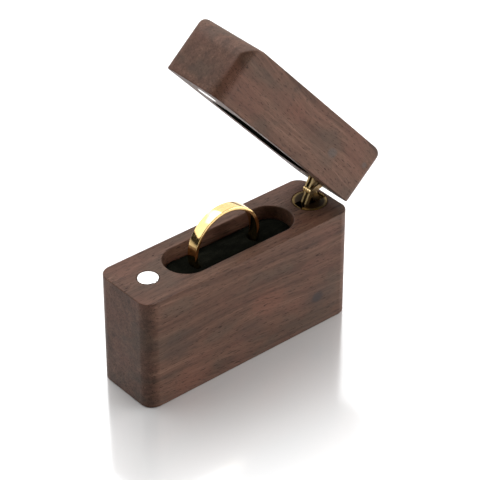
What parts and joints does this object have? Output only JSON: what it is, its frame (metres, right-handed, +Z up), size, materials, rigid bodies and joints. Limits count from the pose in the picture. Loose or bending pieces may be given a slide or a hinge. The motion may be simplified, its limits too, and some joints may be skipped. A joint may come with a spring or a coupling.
{
  "type": "ring box",
  "caption": "Slim flip-top walnut ring box: two rounded wooden blocks on a brass barrel hinge, magnet closure, and a velvet pad that holds a plain band upright.",
  "frame": {"origin": "centre of the flat face the base stands on", "axes": "+X along the box towards the hinge end, +Y across its width, +Z up"},
  "size_m": [0.083, 0.022, 0.0997],
  "materials": {
    "walnut": "satin",
    "nickel": "polished",
    "brass": "satin",
    "gold": "polished",
    "velvet": "matte",
    "foam": "matte"
  },
  "bodies": {
    "base": {"base_block": "walnut", "base_magnet": "nickel", "base_hinge_barrel": "brass", "base_pivot_pin": "brass", "foam_insert": "foam", "velvet_cover": "velvet", "wedding_band": "gold"},
    "base_links": {"base_link_near": "brass", "base_link_far": "brass", "knuckle_pin": "brass", "lid_slide_pin": "brass"},
    "lid_links": {"lid_link_near": "brass", "lid_link_far": "brass", "base_slide_pin": "brass"},
    "lid": {"lid_block": "walnut", "lid_magnet": "nickel", "lid_hinge_barrel": "brass", "lid_pivot_pin": "brass", "lid_lining": "velvet"}
  },
  "joints": [
    {"name": "lid_open", "type": "hinge", "parent": "base", "child": "base_links", "pos_m": [0.034, 0, 0.0338], "axis": [0, 1, 0], "range_deg": [-39.36, 46.74]},
    {"name": "knuckle_fold", "type": "hinge", "parent": "base_links", "child": "lid_links", "pos_m": [0.03007, 0, 0.03871], "axis": [0, 1, 0], "range_deg": [-36.48, 30.72]},
    {"name": "lid_fold", "type": "hinge", "parent": "lid_links", "child": "lid", "pos_m": [0.03607, 0, 0.04027], "axis": [0, 1, 0], "range_deg": [-39.36, 46.74]}
  ],
  "couplings": [
    {"joint": "lid_fold", "follows": "lid_open", "ratio": 1},
    {"joint": "knuckle_fold", "follows": "lid_open", "ratio": -0.78049}
  ]
}
